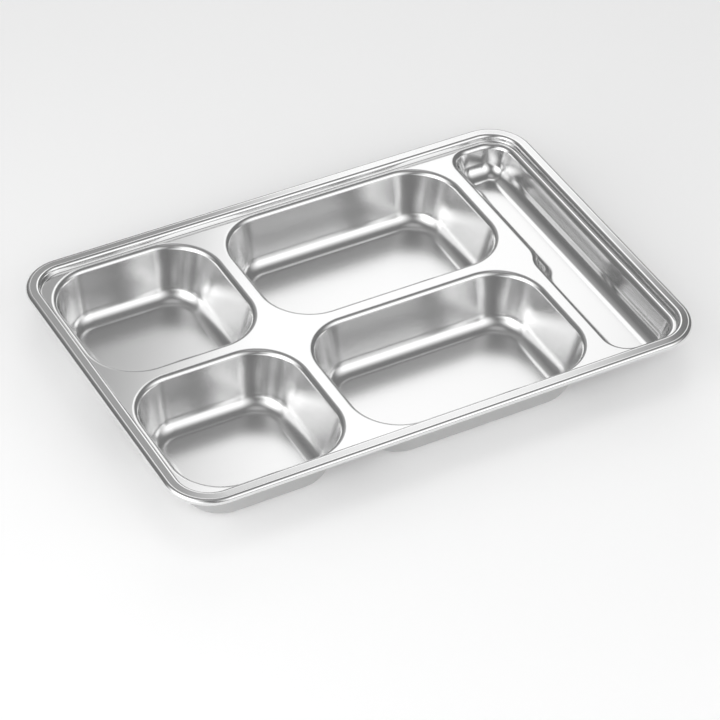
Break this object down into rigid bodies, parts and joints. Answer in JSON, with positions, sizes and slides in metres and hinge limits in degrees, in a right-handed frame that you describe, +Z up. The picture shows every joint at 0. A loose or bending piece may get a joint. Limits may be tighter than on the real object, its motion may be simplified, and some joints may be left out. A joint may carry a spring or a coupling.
{
  "type": "compartment tray",
  "caption": "Shallow rectangular compartment tray in satin stainless steel, with deep rounded food wells, a long cutlery channel, a lid seat and a rolled edge.",
  "frame": {"origin": "on the table, under the centre of the tray: the middle of the bottom of its bounding box", "axes": "+X along the length, towards the cutlery channel; +Y across, towards the rear row of wells; +Z up"},
  "size_m": [0.4, 0.27, 0.045],
  "materials": {
    "satin_steel": "satin"
  },
  "bodies": {
    "root": {"curled_edge": "satin_steel", "rim_flange": "satin_steel", "deck_and_lid_seat": "satin_steel", "rear_left_well": "satin_steel", "front_left_well": "satin_steel", "rear_middle_well": "satin_steel", "front_middle_well": "satin_steel", "cutlery_channel_rear": "satin_steel", "cutlery_channel_front": "satin_steel"}
  },
  "joints": []
}
